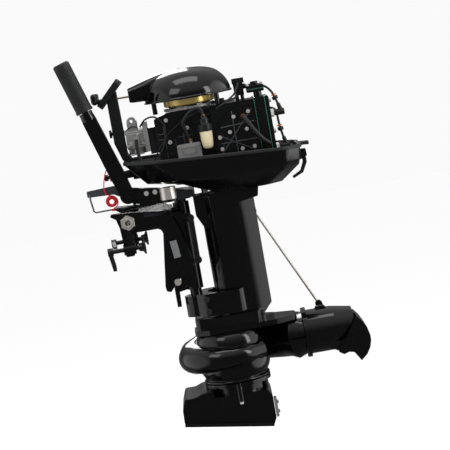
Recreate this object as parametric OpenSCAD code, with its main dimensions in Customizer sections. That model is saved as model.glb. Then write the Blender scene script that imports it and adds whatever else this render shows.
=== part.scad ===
// Jet-drive outboard motor, top cowl off: transom clamp, swivel, engine, leg and water-jet pump.
// Frame: origin on the transom seat, midway between the clamp brackets; +X aft, +Y starboard, +Z up.
// Millimetres throughout.

/* [Layout] */
// Distance of the crankshaft and drive shaft behind the transom seat
shaft_x = 162; // [150:1:165]
// Distance of the steering axis behind the transom seat
steer_x = 92; // [88:1:94]
// Half the spacing of the two clamp brackets
bracket_y = 105; // [100:1:115]
// Height of the tilt axis above the transom seat
tilt_z = 30; // [28:1:32]

/* [Powerhead] */
// Cylinder bore
bore_d = 72; // [60:1:74]
// Spacing of the two cylinders
cylinder_pitch = 91; // [88:1:94]
// Flywheel diameter
flywheel_d = 136; // [120:1:144]
// Starter cover diameter
starter_cover_d = 232; // [220:1:240]

/* [Tiller] */
// Angle of the folded-up tiller from vertical
tiller_lean = 17; // [10:1:20]
// Length of the twist grip
grip_length = 138; // [110:1:140]
// Diameter of the twist grip
grip_d = 45; // [34:1:48]

/* [Pump] */
// Impeller diameter
impeller_d = 130; // [110:1:134]
// Number of impeller blades
impeller_blades = 4; // [3:1:5]
// Number of bars in the intake grille
grille_bars = 7; // [5:1:9]

/* [Hidden] */
$fn = 64;

gap = 0.3; // free space between curved faces of pieces that move past each other
fit = 0.05; // radial clearance of a running shaft

// Heights shared by several pieces
block_low = 100;
block_high = 292;
case_front = 62;
block_rear = 331;
head_rear = 359;
cover_rear = 371;
cylinder_z = [152, 152 + cylinder_pitch];
rim_slope = 3.7; // fall of the cowl rim towards the stern, in degrees
rim_front = [-34, 176];
pump_top = -314;
volute_z = -378;
flange_z = -450;
nozzle_z = -362;
nozzle_y = 12;
gate_pivot = [456, -412];
rod_pin = [418, -303];
arm_y = 88;
tilt_x = -50;
pin_at = [52, -147];
tiller_pivot = [-39, 96];
tiller_y = -76;
screw_z = -41;
handle_z = 352;
switch_at = [-70, 14, 138];

// ---------- helpers ----------

// Stands an X-Z outline up and gives it a thickness from y0 to y1.
module slab(y0, y1) {
    rotate([90, 0, 0]) translate([0, 0, -y1]) linear_extrude(y1 - y0) children();
}

// Rounds the outer corners of an outline.
module soften(r) {
    offset(r = r, $fn = 24) offset(delta = -r) children();
}

module cyl_x(x0, x1, y, z, r, r2 = -1) {
    translate([x0, y, z]) rotate([0, 90, 0])
        cylinder(h = x1 - x0, r1 = r, r2 = r2 < 0 ? r : r2);
}

module cyl_y(y0, y1, x, z, r, r2 = -1) {
    translate([x, y1, z]) rotate([90, 0, 0])
        cylinder(h = y1 - y0, r1 = r2 < 0 ? r : r2, r2 = r);
}

module cyl_z(z0, z1, x, y, r, r2 = -1) {
    translate([x, y, z0]) cylinder(h = z1 - z0, r1 = r, r2 = r2 < 0 ? r : r2);
}

module box(low, high) {
    translate(low) cube(high - low);
}

function unit(v) = v / norm(v);

// Direction of a path at point i.
function heading(p, i) = unit(p[min(i + 1, len(p) - 1)] - p[max(i - 1, 0)]);

// A vector across the path at point i, carried along from its first point without twist.
function across(p, i) = let (t = heading(p, i),
    v = i > 0 ? across(p, i - 1) : abs(t[1]) < 0.9 ? [0, 1, 0] : [1, 0, 0])
    unit(v - (v * t) * t);

// A solid tube of radius r, or of one radius at each point, swept along the points of p.
module swept(p, r, sides = 8) {
    n = len(p);
    points = [for (i = [0:n - 1])
        let (a = across(p, i), b = cross(heading(p, i), a), rr = is_list(r) ? r[i] : r)
        for (k = [0:sides - 1])
            p[i] + rr * (cos(360 * k / sides) * a + sin(360 * k / sides) * b)];
    walls = [for (i = [0:n - 2]) for (k = [0:sides - 1])
        let (m = (k + 1) % sides, low = i * sides, high = low + sides)
        for (face = [[low + k, high + k, high + m], [low + k, high + m, low + m]]) face];
    first = [for (k = [0:sides - 1]) k];
    last = [for (k = [sides - 1:-1:0]) (n - 1) * sides + k];
    polyhedron(points, concat([first, last], walls), convexity = 6);
}

// A smooth curve through the points of a short route, with steps points to each span.
function spline(p, steps = 5) = concat(
    [for (i = [0:len(p) - 2]) for (s = [0:steps - 1])
        let (a = p[max(i - 1, 0)], b = p[i], c = p[i + 1], d = p[min(i + 2, len(p) - 1)],
            u = s / steps)
        0.5 * ((2 * b) + (c - a) * u + (2 * a - 5 * b + 4 * c - d) * u * u
            + (3 * b - a - 3 * c + d) * u * u * u)],
    [p[len(p) - 1]]);

// Hexagonal head on a screw along -Y, its seat at y.
module port_bolt(x, z, y, r = 5.2, h = 6) {
    cyl_y(y - h, y, x, z, r * 0.86);
    cyl_y(y - 1.5, y, x, z, r);
}

// ---------- transom clamp ----------

bracket_outline = [[-98, 57], [-74, 57], [-5, 51], [48, 44], [64, 30], [79, -5], [92, -60],
    [104, -110], [98, -124], [66, -134], [44, -156], [30, -172], [19, -168], [17, -156],
    [36, -14], [32, -4], [24, 0], [-36, 0], [-42, -8], [-47, -60], [-70, -60], [-74, 18],
    [-80, 42], [-98, 54]];
bracket_pocket = [[44, 34], [56, 24], [70, -8], [82, -60], [93, -108], [60, -124], [36, -148],
    [28, -152], [46, -14], [42, 6], [20, 12], [-10, 14], [-10, 36]];

module clamp_bracket(side) {
    inner = bracket_y - 12;
    outer = bracket_y + 12;
    mirror([0, side < 0 ? 1 : 0, 0])
        difference() {
            union() {
                slab(inner, outer) soften(4) polygon(bracket_outline);
                cyl_x(-74, -42, bracket_y, screw_z, 15);
                cyl_y(inner, outer + 2, tilt_x, tilt_z, 25);
            }
            slab(outer - 6, outer + 1) soften(5) polygon(bracket_pocket);
            cyl_y(inner - 1, outer + 3, tilt_x, tilt_z, 12.1);
            cyl_x(-80, -30, bracket_y, screw_z, 6 + gap);
            for (step = [0:3])
                let (turn = step * 9, reach = pin_at - [tilt_x, tilt_z])
                    cyl_y(inner - 1, outer + 1,
                        tilt_x + reach[0] * cos(turn) - reach[1] * sin(turn),
                        tilt_z + reach[0] * sin(turn) + reach[1] * cos(turn), 5);
        }
}

module clamp_bracket_port() {
    color("#15161a") clamp_bracket(-1);
}

module clamp_bracket_starboard() {
    color("#15161a") clamp_bracket(1);
}

module tilt_tube() {
    tube_end = bracket_y + 32;
    color("#b8b2ab") {
        difference() {
            cyl_y(-tube_end, tube_end, tilt_x, tilt_z, 12);
            cyl_y(-tube_end - 1, tube_end + 1, tilt_x, tilt_z, 7.9);
        }
        for (side = [-1, 1])
            translate([tilt_x, side * (bracket_y + 21), tilt_z]) rotate([90, 0, 0])
                difference() {
                    rotate([0, 0, 90]) cylinder(h = 13, r = 20.2, center = true, $fn = 6);
                    cylinder(h = 14, r = 12 + fit, center = true);
                }
    }
}

module tilt_pin() {
    pin_end = bracket_y + 22;
    color("#b9ada0") {
        cyl_y(-pin_end, pin_end, pin_at[0], pin_at[1], 4.95);
        cyl_y(-pin_end - 3, -pin_end, pin_at[0], pin_at[1], 9);
        translate([pin_at[0], bracket_y + 16, pin_at[1]]) rotate([90, 0, 0])
            rotate_extrude() translate([9.5, 0]) circle(r = 1.4, $fn = 16);
    }
}

module clamp_pad(side) {
    y = side * bracket_y;
    difference() {
        union() {
            cyl_x(-34, -24, y, screw_z, 10, 12);
            cyl_x(-24, -19, y, screw_z, 12, 20);
            cyl_x(-19, -16, y, screw_z, 20);
        }
        cyl_x(-35, -26, y, screw_z, 6 + gap);
        cyl_x(-17.5, -15, y, screw_z, 15);
    }
}

module clamp_pad_port() {
    color("#1c1c20") clamp_pad(-1);
}

module clamp_pad_starboard() {
    color("#1c1c20") clamp_pad(1);
}

// Screw with its single folding handle, turned round the screw's axis by turn.
module clamp_screw(side, turn) {
    y = side * bracket_y;
    cyl_x(-104, -26 - gap, y, screw_z, 6);
    translate([-110, y, screw_z]) rotate([turn, 0, 0]) {
        rotate([0, 90, 0]) cylinder(h = 14, r = 11, center = true);
        hull() {
            translate([-2, 0, 0]) rotate([0, 90, 0]) cylinder(h = 9, r = 9, center = true, $fn = 32);
            translate([4, 0, -42]) rotate([0, 90, 0]) cylinder(h = 9, r = 10, center = true, $fn = 32);
        }
    }
}

module clamp_screw_port() {
    color("#101013") clamp_screw(-1, 0);
}

module clamp_screw_starboard() {
    color("#101013") clamp_screw(1, -70);
}

// ---------- swivel ----------

module swivel_bracket() {
    color("#17181b") difference() {
        union() {
            cyl_z(-188, 50, steer_x, 0, 22);
            slab(-88, -62) polygon([[-50, 52], [30, 46], [60, 36], [60, 12], [40, 9], [-34, 9],
                [-50, 8], [-66, 14], [-72, 30], [-66, 46]]);
            slab(62, 88) polygon([[-50, 48], [30, 46], [60, 36], [60, 12], [40, 9], [-34, 9],
                [-50, 8], [-60, 13], [-66, 20], [-68, 30], [-66, 38], [-60, 45]]);
            slab(-88, 88) polygon([[-24, 46], [30, 46], [66, 40], [66, 12], [44, 9], [-24, 14]]);
            slab(-20, 20) polygon([[60, 12], [92, 12], [92, 40], [60, 40]]);
            slab(-62, -48) polygon([[44, 30], [92, 30], [92, -132], [66, -140], [58, -90], [56, -10]]);
            slab(48, 62) polygon([[44, 30], [92, 30], [92, -132], [66, -140], [58, -90], [56, -10]]);
            slab(-62, 62) polygon([[76, 20], [92, 20], [92, -140], [76, -128]]);
            slab(-34, 34) polygon([[58, -118], [92, -110], [92, -186], [58, -168]]);
            slab(-13, 13) polygon([[60, -160], [72, -186], [48, -190], [47, -230], [36, -230],
                [36, -176], [50, -166]]);
            slab(-72, -60) polygon([[66, 30], [112, 22], [121, 14], [121, 4], [112, 0], [66, 0]]);
            slab(-72, -48) polygon([[66, 30], [92, 26], [92, 0], [66, 0]]);
        }
        cyl_z(-200, 60, steer_x, 0, 16);
        cyl_y(-100, 100, tilt_x, tilt_z, 12.1);
        box([-90, -62, -20], [-24, 62, 60]);
        cyl_y(-74, -56, 114, 10, 4 + fit);
    }
}

module tilt_support_arm() {
    color("#141518") {
        difference() {
            union() {
                cyl_y(-82, -73, 114, 10, 9);
                slab(-82, -73) polygon([[107, 10], [121, 10], [120, -104], [108, -104]]);
                cyl_y(-82, -73, 114, -104, 10);
            }
            slab(-83, -79) polygon([[111.5, -4], [116.5, -4], [116.5, -88], [111.5, -88]]);
        }
        cyl_y(-75, -58, 114, 10, 4);
    }
}

// ---------- steering bracket and mounts ----------

module steering_bracket() {
    color("#121316") {
        difference() {
            union() {
                cyl_z(-206, 66, steer_x, 0, 16 - fit);
                slab(-88, -62) soften(3) polygon([[-18, 63], [60, 63], [120, 63], [134, 70],
                    [134, 80], [108, 88], [70, 98], [20, 107], [-8, 111], [-24, 102]]);
                slab(-62, 62) polygon([[44, 63], [134, 63], [134, 80], [60, 84]]);
                slab(62, 80) polygon([[60, 63], [134, 63], [134, 80], [70, 84]]);
                cyl_z(63, 70, 66, -84.6, 22);
                cyl_y(-62 + gap, -43, tiller_pivot[0], tiller_pivot[1], 21);
                slab(-62 + gap, -43) polygon([[-39, 76], [0, 63], [60, 63], [60, 84], [10, 106],
                    [-39, 117]]);
            }
            cyl_y(-92, -38, tiller_pivot[0], tiller_pivot[1], 7 + fit);
            cyl_y(-92, -62 + gap, tiller_pivot[0], tiller_pivot[1], 38);
            cyl_z(70, 120, 66, -84.6, 22.1);
        }
    }
}

module mount_sleeves() {
    color("#9c968f") {
        difference() {
            cyl_z(70, 102, 66, -84.6, 22);
            cyl_z(76, 103, 66, -84.6, 12);
        }
        for (side = [-1, 1]) cyl_y(side < 0 ? -48.2 : 43.2, side < 0 ? -43.2 : 48.2, 176, -232, 16);
    }
}

// ---------- leg ----------

// Points of the leg's horizontal section: blunt round nose, widest at the middle, narrow tail.
function leg_half(inset, steps = 24) = [for (i = [0:steps])
    let (t = i / steps, x = 143 + inset + (289 - 143 - 2 * inset) * t,
        w = (43 - inset) * pow(sin(180 * pow(t, 0.72)), 0.62))
    [x, max(w, i == steps ? 6 : 0.01)]];

module leg_section(inset) {
    half = leg_half(inset);
    polygon(concat(half, [for (i = [len(half) - 1:-1:0]) [half[i][0], -half[i][1]]]));
}

module upper_casing() {
    color("#1b1b20") difference() {
        union() {
            translate([0, 0, -300]) linear_extrude(356) leg_section(0);
            slab(-46, 46) soften(4) polygon([[172, 14], [246, 26], [300, 34], [306, 62], [170, 62]]);
            slab(-30, 30) polygon([[128, 62], [176, 62], [176, -30], [146, -30], [128, 8]]);
            translate([0, 0, -300]) linear_extrude(30) soften(18)
                polygon([[76, -44], [120, -58], [250, -58], [262, -30], [262, 30], [250, 58],
                    [120, 58], [76, 44]]);
        }
        for (side = [-1, 1])
            slab(side < 0 ? -60 : 31, side < 0 ? -31 : 60)
                polygon([[246, 10], [249, 10], [246, -246], [243, -246]]);
        translate([0, 0, -262]) linear_extrude(300) leg_section(7);
        slab(-60, 60) polygon([[300, -258], [290, -258], [258, -290], [300, -290]]);
        cyl_z(-301, -250, shaft_x, 0, 12);
        cyl_z(30, 70, shaft_x, 0, 30);
        for (side = [-1, 1])
            slab(side < 0 ? -61 : 59 - 8, side < 0 ? -59 + 8 : 61)
                polygon([[80, -294], [112, -294], [112, -276], [80, -276]]);
    }
}

module lower_mount_housing() {
    color("#1a1a1e") difference() {
        union() {
            cyl_z(-262, -206, steer_x, 0, 33);
            translate([0, 0, -262]) linear_extrude(60) soften(22)
                polygon([[88, -30], [112, -58], [160, -66], [214, -64], [222, -40], [222, 40],
                    [214, 64], [160, 66], [112, 58], [88, 30]]);
        }
        translate([0, 0, -270]) linear_extrude(80) scale([1, 1, 1])
            polygon([for (a = [0:10:350]) [176 + 53 * cos(a), 51 * sin(a)]]);
        box([200, -45, -270], [240, 45, -190]);
        cyl_z(-270, -190, steer_x, 0, 16);
        for (z = [-216, -250]) for (side = [-1, 1])
            cyl_y(side < 0 ? -70 : 58, side < 0 ? -58 : 70, 118, z, 8.5);
    }
}

// ---------- bottom cowl ----------

// Plan of the cowl at a given level: rounded nose, full width aft.
module cowl_plan(x0, x1, w0, w1, inset, corner) {
    offset(delta = -inset) soften(corner)
        polygon([[x0, -w0], [x0 + 90, -w1], [x1 - 40, -w1], [x1, -w1 * 0.62], [x1, w1 * 0.62],
            [x1 - 40, w1], [x0 + 90, w1], [x0, w0]]);
}

// Lays children in the plane of the sloping rim, lifted by up.
module on_rim(up) {
    translate([rim_front[0], 0, rim_front[1]]) rotate([0, rim_slope, 0])
        translate([-rim_front[0], 0, up]) children();
}

// One level of the cowl's outside: height, front, rear, half widths at the nose and at the sides.
module cowl_level(inset, z, x0, x1, w0, w1) {
    translate([0, 0, z]) linear_extrude(0.1) cowl_plan(x0, x1, w0, w1, inset, 26);
}

module cowl_body(inset, top) {
    hull() {
        on_rim(top) linear_extrude(0.1) cowl_plan(-34, 432, 92, 158, inset, 30);
        cowl_level(inset, 118 + inset * 0.4, 16, 426, 84, 152);
    }
    hull() {
        cowl_level(inset, 118 + inset * 0.4, 16, 426, 84, 152);
        cowl_level(inset, 102 + inset * 0.6, 104, 422, 84, 138);
    }
    hull() {
        cowl_level(inset, 102 + inset * 0.6, 104, 422, 84, 138);
        cowl_level(inset, 63 + inset, 186, 372, 60, 96);
    }
}

module bottom_cowl() {
    color("#232327") difference() {
        cowl_body(0, 0);
        cowl_body(4, 1);
        box([150, -60, 50], [300, 60, 80]);
        cyl_x(-60, 30, switch_at[1], 147, 17.3);
        slab(-68, 68) polygon([[20, 96], [20, 124], [150, 124], [190, 84], [190, 50]]);
    }
    color("#232327") for (side = [-1, 1]) difference() {
        slab(side < 0 ? -18 : 12, side < 0 ? -12 : 18)
            polygon([[420, 134], [448, 134], [449, 116], [438, 110], [420, 106]]);
        cyl_y(-20, 20, 440, 120, 3);
    }
}

module cowl_seal() {
    color("#3a3a3d") on_rim(gap) difference() {
        linear_extrude(9) union() {
            offset(delta = 4) cowl_plan(-34, 432, 92, 158, 0, 30);
            translate([430, -22]) square([30, 44]);
        }
        translate([0, 0, -1]) linear_extrude(11) cowl_plan(-34, 432, 92, 158, 5, 28);
    }
}

// ---------- powerhead ----------

module crankcase() {
    color("#121315") difference() {
        union() {
            slab(-62, 62) soften(6) polygon([[case_front, 118], [case_front, 282], [96, block_high],
                [shaft_x - 0.5, block_high], [shaft_x - 0.5, block_low], [96, block_low]]);
            box([40, -32, 192], [70, 32, 262]);
            for (at = [[94, 275], [95, 216], [146, 246]]) cyl_y(-68, 0, at[0], at[1], 9);
            for (z = [130, 196, 264]) box([70, -66, z - 3], [shaft_x - 0.5, 66, z + 3]);
            slab(-66, 66) polygon([[92, 216], [98, 216], [148, 244], [148, 250], [98, 276],
                [92, 276]]);
        }
        for (z = cylinder_z) cyl_z(z - 22, z + 30, shaft_x, 0, 47);
        cyl_z(90, 300, shaft_x, 0, 20);
        cyl_x(30, 120, 0, 227, 22);
    }
}

module cylinder_block() {
    color("#0d0e10") difference() {
        union() {
            box([shaft_x, -74, block_low], [block_rear, 74, block_high]);
            box([212, -92, 112], [326, -70, 284]);
            for (z = [120, 168, 212, 258]) box([shaft_x, -78, z - 3], [214, 78, z + 3]);
            cyl_z(block_high - 2, block_high + 12, 246, 46, 11);
        }
        for (z = cylinder_z) {
            cyl_x(190, block_rear + 1, 0, z, bore_d / 2);
            cyl_z(z - 22, z + 30, shaft_x, 0, 47);
        }
        cyl_z(90, 300, shaft_x, 0, 20);
    }
}

cover_bolts = [[271, 255], [311, 263], [255, 217], [300, 218], [227, 207], [228, 176],
    [281, 169], [313, 170]];

module exhaust_cover() {
    color("#0f1012") {
        difference() {
            union() {
                slab(-102, -92) soften(6) polygon([[216, 152], [326, 152], [326, 274], [262, 274],
                    [216, 222]]);
                for (at = cover_bolts) cyl_y(-104, -92, at[0], at[1], 9);
                for (pair = [[0, 4], [1, 7], [2, 5], [3, 5], [3, 6]])
                    slab(-104, -100) let (a = cover_bolts[pair[0]], b = cover_bolts[pair[1]],
                        n = 1.7 * unit([b[1] - a[1], a[0] - b[0]]))
                        polygon([a - n, a + n, b + n, b - n]);
            }
            for (at = cover_bolts) cyl_y(-120, -80, at[0], at[1], 4.2);
        }
    }
}

module cylinder_head() {
    color("#101113") {
        difference() {
            slab(-78, 78) soften(4) polygon([[block_rear + 2, 104], [head_rear, 104],
                [head_rear, 294], [block_rear + 2, 294]]);
            for (z = cylinder_z) {
                cyl_x(block_rear, block_rear + 16, 0, z, bore_d / 2 - 2, 18);
                cyl_x(block_rear, head_rear + 1, 0, z, 7);
            }
        }
        difference() {
            slab(-78, 78) soften(4) polygon([[head_rear + 2, 104], [cover_rear, 104],
                [cover_rear, 294], [head_rear + 2, 294]]);
            for (z = cylinder_z) cyl_x(head_rear, cover_rear + 1, 0, z, 12);
        }
        difference() {
            union() {
                cyl_z(294, 310, 346, -30, 11);
                slab(-54, -6) soften(2) polygon([[318, 308], [364, 308], [364, 315], [318, 315]]);
            }
        }
        slab(-54, -6) soften(2) polygon([[318, 317], [364, 317], [364, 326], [318, 326]]);
        cyl_z(326, 336, 341, -30, 10);
    }
}

module gaskets() {
    color("#1d5c4a") {
        difference() {
            box([block_rear, -79, 103], [block_rear + 2, 79, 295]);
            for (z = cylinder_z) cyl_x(block_rear - 1, block_rear + 3, 0, z, bore_d / 2 + 0.5);
        }
        difference() {
            box([head_rear, -79, 103], [head_rear + 2, 79, 295]);
            for (z = cylinder_z) cyl_x(head_rear - 1, head_rear + 3, 0, z, 12.5);
        }
        box([317, -55, 315], [365, -5, 317]);
    }
}

module engine_bolts() {
    color("#c9c7c3") {
        for (at = cover_bolts) {
            port_bolt(at[0], at[1], -104);
            cyl_y(-104, -93, at[0], at[1], 4);
        }
        for (at = [[94, 275], [95, 216], [146, 246]]) port_bolt(at[0], at[1], -68, 5.6, 7);
        for (x = [10, 33]) port_bolt(x, 95, -88, 6.5, 6);
        for (y = [-62, 62]) for (z = [118, 198, 280]) {
            cyl_x(cover_rear, cover_rear + 6, y, z, 5.5);
            cyl_x(cover_rear, cover_rear + 1.5, y, z, 7);
        }
        for (side = [-1, 1]) for (x = [322, 360]) cyl_z(326, 331, x, -30 + side * 18, 4);
    }
}

module pistons() {
    color("#c4c6c8") for (z = cylinder_z) {
        difference() {
            cyl_x(248, 306, 0, z, bore_d / 2 - 0.1);
            cyl_x(247, 298, 0, z, bore_d / 2 - 5);
            cyl_z(z - 40, z + 40, 276, 0, 9);
        }
        cyl_z(z - 34, z + 34, 276, 0, 9 - fit);
    }
}

module spark_plugs() {
    color("#d8d6d0") for (z = cylinder_z) {
        cyl_x(336, cover_rear, 0, z, 6.9);
        translate([cover_rear, 0, z]) rotate([0, 90, 0]) cylinder(h = 10, r = 11, $fn = 6);
        cyl_x(cover_rear + 10, cover_rear + 24, 0, z, 5);
    }
}

module plug_caps() {
    color("#16171a") for (z = cylinder_z) {
        difference() {
            cyl_x(382, 410, 0, z, 8.5);
            cyl_x(381, 396, 0, z, 5.2);
        }
        translate([402, 0, z]) rotate([0, -14, 0]) cylinder(h = 24, r1 = 6.5, r2 = 5);
    }
}

// Routes of the two high-tension leads, from coil to plug cap.
lead_upper = [[318, 26, 326], [346, 20, 327], [370, 6, 316], [384, 0, 300], [391, 0, 282],
    [396, 0, 265]];
lead_lower = [[314, 89, 262], [352, 94, 258], [384, 76, 252], [390, 34, 240], [390, 6, 220],
    [392, 0, 198], [396, 0, 174]];

module plug_leads() {
    color("#141518") {
        swept(spline(lead_upper, 4), 3.2);
        swept(spline(lead_lower, 4), 3.2);
        translate([391, 0, 282]) rotate([0, 161, 0]) cylinder(h = 10, r = 8, center = true);
        translate([392, 0, 198]) rotate([0, 172, 0]) cylinder(h = 10, r = 8, center = true);
    }
}

module ignition_unit() {
    color("#17181b") {
        box([284, 8, 336], [316, 44, 350]);
        box([286, 12, 304], [312, 40, 336]);
        cyl_x(312, 320, 26, 326, 7);
        box([284, 76, 244], [316, 96, 282]);
        for (x = [292, 306]) cyl_z(block_high, 304, x, 26, 5);
    }
}

module stator_plate() {
    color("#b9b9ba") difference() {
        union() {
            cyl_z(block_high, 295, shaft_x, 0, 40);
            cyl_z(295, 301, shaft_x, 0, 70);
            for (a = [20:60:320])
                cyl_z(294, 303, shaft_x + 66 * cos(a), 66 * sin(a), 5);
            for (a = [0:60:300]) translate([shaft_x, 0, 0]) rotate([0, 0, a])
                box([32, -9, 301], [56, 9, 319]);
        }
        cyl_z(280, 330, shaft_x, 0, 24);
    }
}

// ---------- starter ----------

module recoil_cover() {
    color("#1c1d20") difference() {
        union() {
            translate([shaft_x, 0, 0]) rotate_extrude() polygon([[0, 402], [40, 400], [72, 393],
                [97, 377], [110, 357], [116, 340], [116, 328], [119, 328], [119, 323], [112, 323],
                [112, 340], [106, 355], [94, 373], [70, 389], [40, 396], [0, 398]]);
            slab(-25, 25) soften(5) polygon([[5, 334], [66, 330], [84, 384], [50, 384], [5, 377]]);
            for (a = [-40, 40]) translate([shaft_x, 0, 0]) rotate([0, 0, a]) {
                cyl_z(block_high, 330, 98, 0, 7);
                box([92, -9, 323], [116, 9, 330]);
            }
            cyl_z(288, 330, 68, 0, 7);
            box([44, -9, 323], [72, 9, 330]);
            cyl_z(398, 404, shaft_x - 14, 0, 7);
        }
        translate([shaft_x, 0, 0]) rotate_extrude() polygon([[0, 335], [111, 335], [105, 355],
            [93, 373], [69, 389], [0, 396]]);
        cyl_x(0, 70, 0, handle_z, 5);
        cyl_x(10, 70, 0, handle_z, 15);
    }
}

module rope_guide_post() {
    color("#1a1b1e") difference() {
        union() {
            slab(-30, 30) soften(4) polygon([[-38, 186.4], [-12, 184.7], [-24, 204], [-26, 378],
                [-53, 351], [-53, 236]]);
            translate([-42, 0, 366]) rotate([0, -45, 0])
                translate([-44, -42, -6]) linear_extrude(17) soften(12) square([88, 84]);
        }
        cyl_x(-120, 40, 0, handle_z, 7);
        slab(-24, 24) polygon([[-31, 200], [-24, 214], [-30, 326], [-10, 326], [-10, 200]]);
        box([-60, -16, 204], [0, 16, 252]);
        cyl_x(-60, 0, -14, 262, 5.4);
    }
}

module starter_spool() {
    color("#2c2d30") difference() {
        union() {
            cyl_z(340, 346, shaft_x, 0, 64);
            cyl_z(346, 358, shaft_x, 0, 55);
            cyl_z(358, 362, shaft_x, 0, 64);
            cyl_z(362, 386, shaft_x, 0, 14);
        }
        cyl_z(344, 390, shaft_x, 0, 8);
        cyl_z(339, 344, shaft_x, 0, 40);
    }
}

module starter_handle() {
    color("#1b1b1d") difference() {
        union() {
            hull() for (end = [-38, 38]) {
                translate([-85, end, 367]) sphere(r = 9, $fn = 24);
                translate([-85, end * 0.94, 354]) sphere(r = 9, $fn = 24);
            }
            cyl_x(-82, -46, 0, handle_z, 6.7);
        }
        cyl_x(-80, -40, 0, handle_z, 2.6);
    }
}

module starter_rope() {
    color("#8a7a5c") cyl_x(-72, 60, 0, handle_z, 2.5);
}

// ---------- fuel, cooling and ignition ----------

module carburetor() {
    color("#a9a9a9") difference() {
        union() {
            box([-18, -30, 214], [34, 30, 262]);
            cyl_x(-20, 36, 0, 238, 27);
            cyl_z(198, 216, 6, 0, 25);
            cyl_z(195, 199, 6, 0, 8);
            box([28, -36, 200], [40, 36, 280]);
            for (y = [-20, 20]) {
                box([-12, y - 5, 262], [14, y + 5, 286]);
                cyl_y(y - 5, y + 5, 0, 286, 11);
            }
            cyl_x(-20, -12, -30, 220, 6);
            cyl_y(-50, -30, 8, 238, 5);
            box([2, -56, 230], [14, -50, 246]);
        }
        cyl_x(-21, 41, 0, 238, 19);
        for (y = [-20, 20]) cyl_y(y - 6, y + 6, 0, 286, 5);
    }
}

module fuel_pump() {
    color("#a5a7a8") {
        difference() {
            slab(-101, -79) soften(5) polygon([[111, 163], [174, 163], [174, 206], [111, 206]]);
            slab(-102, -98) soften(4) polygon([[122, 173], [163, 173], [163, 196], [122, 196]]);
        }
        slab(-100, -93) soften(3) polygon([[128, 178], [157, 178], [157, 191], [128, 191]]);
        for (x = [117, 168]) for (z = [169, 200]) cyl_y(-105, -101, x, z, 3.6);
        box([124, -79, 172], [160, -66, 193]);
        cyl_z(206, 216, 150, -88, 4);
        cyl_z(152, 163, 132, -88, 4);
    }
}

module fuel_filter() {
    color("#e6dfc6") {
        cyl_z(188, 231, 193, -104, 18, 20);
        translate([193, -104, 188]) sphere(r = 17);
    }
    color("#161719") {
        cyl_z(231, 250, 193, -104, 21);
        cyl_z(250, 266, 193, -104, 12);
        cyl_z(266, 273, 193, -104, 8);
        box([180, -90, 236], [206, -78, 254]);
        box([186, -78, 240], [200, -74, 254]);
    }
}

// Routes of the fuel hoses, laid by hand.
hose_supply = [[193, -104, 271], [186, -108, 292], [160, -106, 288], [138, -100, 262],
    [142, -92, 238], [150, -88, 213]];
hose_feed = [[132, -88, 155], [128, -90, 138], [98, -88, 130], [52, -74, 136], [14, -62, 170],
    [6, -58, 212], [8, -56, 238]];

module fuel_hoses() {
    color("#141416") {
        swept(spline(hose_supply, 3), 4.6);
        swept(spline(hose_feed, 3), 4.6);
    }
}

// Route of the cooling hose over the exhaust cover, laid by hand.
hose_coolant = [[295, -100, 251], [297, -116, 252], [304, -125, 240], [318, -129, 214],
    [336, -125, 188], [351, -111, 172], [350, -94, 168], [348, -76, 168]];

module coolant_hose() {
    color("#141416") swept(spline(hose_coolant, 3), 5.5);
    color("#c98a4b") {
        translate([295, -109, 251]) rotate([90, 0, 0]) difference() {
            cylinder(h = 7, r = 8, center = true);
            cylinder(h = 8, r = 6, center = true);
        }
        translate([350, -88, 168]) rotate([90, 0, 0]) difference() {
            cylinder(h = 7, r = 8, center = true);
            cylinder(h = 8, r = 6, center = true);
        }
    }
}

// ---------- water jet ----------

module adapter_plate() {
    color("#1a1b1f") difference() {
        translate([0, 0, pump_top]) linear_extrude(14) soften(16) polygon([[70, -40], [112, -62],
            [290, -62], [347, -34], [347, 34], [290, 62], [112, 62], [70, 40]]);
        cyl_z(pump_top - 1, -299, shaft_x, 0, 34);
    }
}

// Stations of the spiral casing: centre of each section and its radius, growing towards the outlet.
spiral = concat(
    [for (i = [0:12]) let (t = i / 12, a = -30 - 240 * t, d = 88 + 26 * t)
        [shaft_x + d * cos(a), d * sin(a), volute_z + 6 - 8 * t, 20 + 36 * t]],
    [[222, 110, volute_z + 4, 57], [276, 76, volute_z + 9, 58], [328, 34, nozzle_z - 4, 58],
        [363, nozzle_y, nozzle_z, 58]]);

module volute_casing() {
    color("#1b1c20") difference() {
        union() {
            swept([for (p = spiral) [p[0], p[1], p[2]]], [for (p = spiral) p[3]], 16);
            cyl_z(-424, pump_top, shaft_x, 0, 96, 84);
            cyl_z(flange_z, -440, shaft_x, 0, 90);
            cyl_z(-442, -420, shaft_x, 0, 84, 96);
            slab(-40, 40) polygon([[230, pump_top], [347, pump_top], [347, -330], [230, -330]]);
        }
        translate([236, 100, volute_z + 6]) rotate([0, 86, -34]) cylinder(h = 170, r = 46);
        cyl_x(355, 380, nozzle_y, nozzle_z, 52);
        cyl_z(flange_z - 1, -400, shaft_x, 0, impeller_d / 2 + 1);
        cyl_z(-420, -330, shaft_x, 0, 80);
        cyl_z(-331, pump_top + 1, shaft_x, 0, 26);
        box([361, -90, -460], [400, 120, -250]);
        box([40, -140, pump_top], [348.5, 180, -250]);
    }
    color("#1b1c20") difference() {
        cyl_z(-420, pump_top, shaft_x, 0, 26, 40);
        cyl_z(-421, pump_top + 1, shaft_x, 0, 10 + fit);
    }
}

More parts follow.
